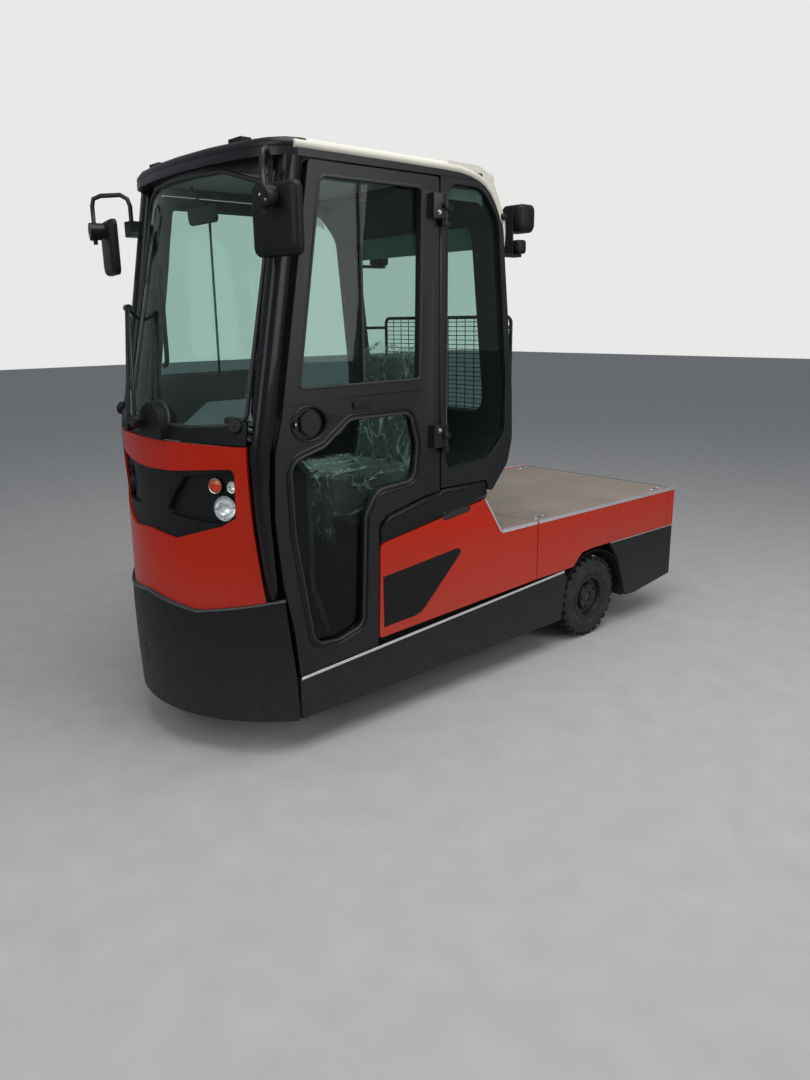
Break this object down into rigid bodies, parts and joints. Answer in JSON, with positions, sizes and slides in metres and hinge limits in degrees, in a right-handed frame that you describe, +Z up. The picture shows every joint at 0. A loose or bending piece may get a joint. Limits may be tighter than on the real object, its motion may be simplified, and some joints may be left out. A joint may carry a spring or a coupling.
{
  "type": "electric platform tow tractor with cab",
  "caption": "Three-wheeled electric airport tug with a closed two-door cab, a low load deck behind it and a rear tow coupling.",
  "frame": {"origin": "on the ground under the middle of the overall box", "axes": "+X forward, +Y to the driver's left, +Z up"},
  "size_m": [2.94, 1.4526, 2.186],
  "materials": {
    "frame_paint": "satin black powder coat",
    "dark_panel": "fine grained dark grey moulding",
    "red_paint": "gloss orange red enamel",
    "cream_roof": "gloss cream laminate",
    "tinted_glass": "green tinted safety glass",
    "lamp_lens": "clear and amber lamp lenses",
    "deck_board": "coated plywood",
    "bare_steel": "worn steel",
    "floor_mat": "ribbed rubber mat",
    "seat_vinyl": "black vinyl",
    "battery_case": "painted steel tray",
    "axle_casting": "painted casting",
    "tyre_rubber": "rubber",
    "rim_paint": "dark painted wheel disc"
  },
  "bodies": {
    "chassis": {"chassis_frame": "frame_paint", "cab_floor": "floor_mat", "front_bumper": "dark_panel", "nose_hood": "red_paint", "grille_insert": "dark_panel", "front_lamps": "lamp_lens", "cowl": "dark_panel", "windscreen": "tinted_glass", "pillars": "frame_paint", "roof_frame": "frame_paint", "roof_panel": "cream_roof", "roof_markers": "dark_panel", "cab_sides": "frame_paint", "rear_wall": "frame_paint", "cab_glass": "tinted_glass", "rear_guard": "frame_paint", "rear_lamps": "lamp_lens", "side_panels": "red_paint", "side_covers": "dark_panel", "bed_sides": "red_paint", "sills": "dark_panel", "rear_skirts": "dark_panel", "deck_boards": "deck_board", "rear_plate": "frame_paint", "tow_coupling": "bare_steel", "seat_base": "dark_panel", "seat_cushion": "seat_vinyl", "seat_back": "seat_vinyl", "dashboard": "dark_panel", "hand_wheel": "dark_panel", "rear_brackets": "frame_paint", "mirror_arms": "frame_paint", "mirror_heads": "dark_panel", "wiper": "frame_paint", "battery_block": "battery_case", "drive_axle": "axle_casting"},
    "steering": {"steer_fork": "axle_casting"},
    "wheel_front": {"tyre_front": "tyre_rubber", "rim_front": "rim_paint"},
    "wheel_rear_left": {"tyre_rear_left": "tyre_rubber", "rim_rear_left": "rim_paint"},
    "wheel_rear_right": {"tyre_rear_right": "tyre_rubber", "rim_rear_right": "rim_paint"},
    "left_door": {"door_left": "frame_paint", "door_glass_left": "tinted_glass"},
    "right_door": {"door_right": "frame_paint", "door_glass_right": "tinted_glass"}
  },
  "joints": [
    {"name": "door_left_swing", "type": "hinge", "parent": "chassis", "child": "left_door", "pos_m": [0.427, 0.56, 1.5], "axis": [0, 0, 1], "range_deg": [0, 85]},
    {"name": "door_right_swing", "type": "hinge", "parent": "chassis", "child": "right_door", "pos_m": [0.427, -0.56, 1.5], "axis": [0, 0, -1], "range_deg": [0, 85]},
    {"name": "steer", "type": "hinge", "parent": "chassis", "child": "steering", "pos_m": [1.161, 0, 0.5], "axis": [0, 0, 1], "range_deg": [-75, 75]},
    {"name": "front_wheel_spin", "type": "hinge", "parent": "steering", "child": "wheel_front", "pos_m": [1.161, 0, 0.2075], "axis": [0, 1, 0], "continuous": true},
    {"name": "rear_left_wheel_spin", "type": "hinge", "parent": "chassis", "child": "wheel_rear_left", "pos_m": [-0.639, 0.47, 0.2075], "axis": [0, 1, 0], "continuous": true},
    {"name": "rear_right_wheel_spin", "type": "hinge", "parent": "chassis", "child": "wheel_rear_right", "pos_m": [-0.639, -0.47, 0.2075], "axis": [0, 1, 0], "continuous": true}
  ]
}
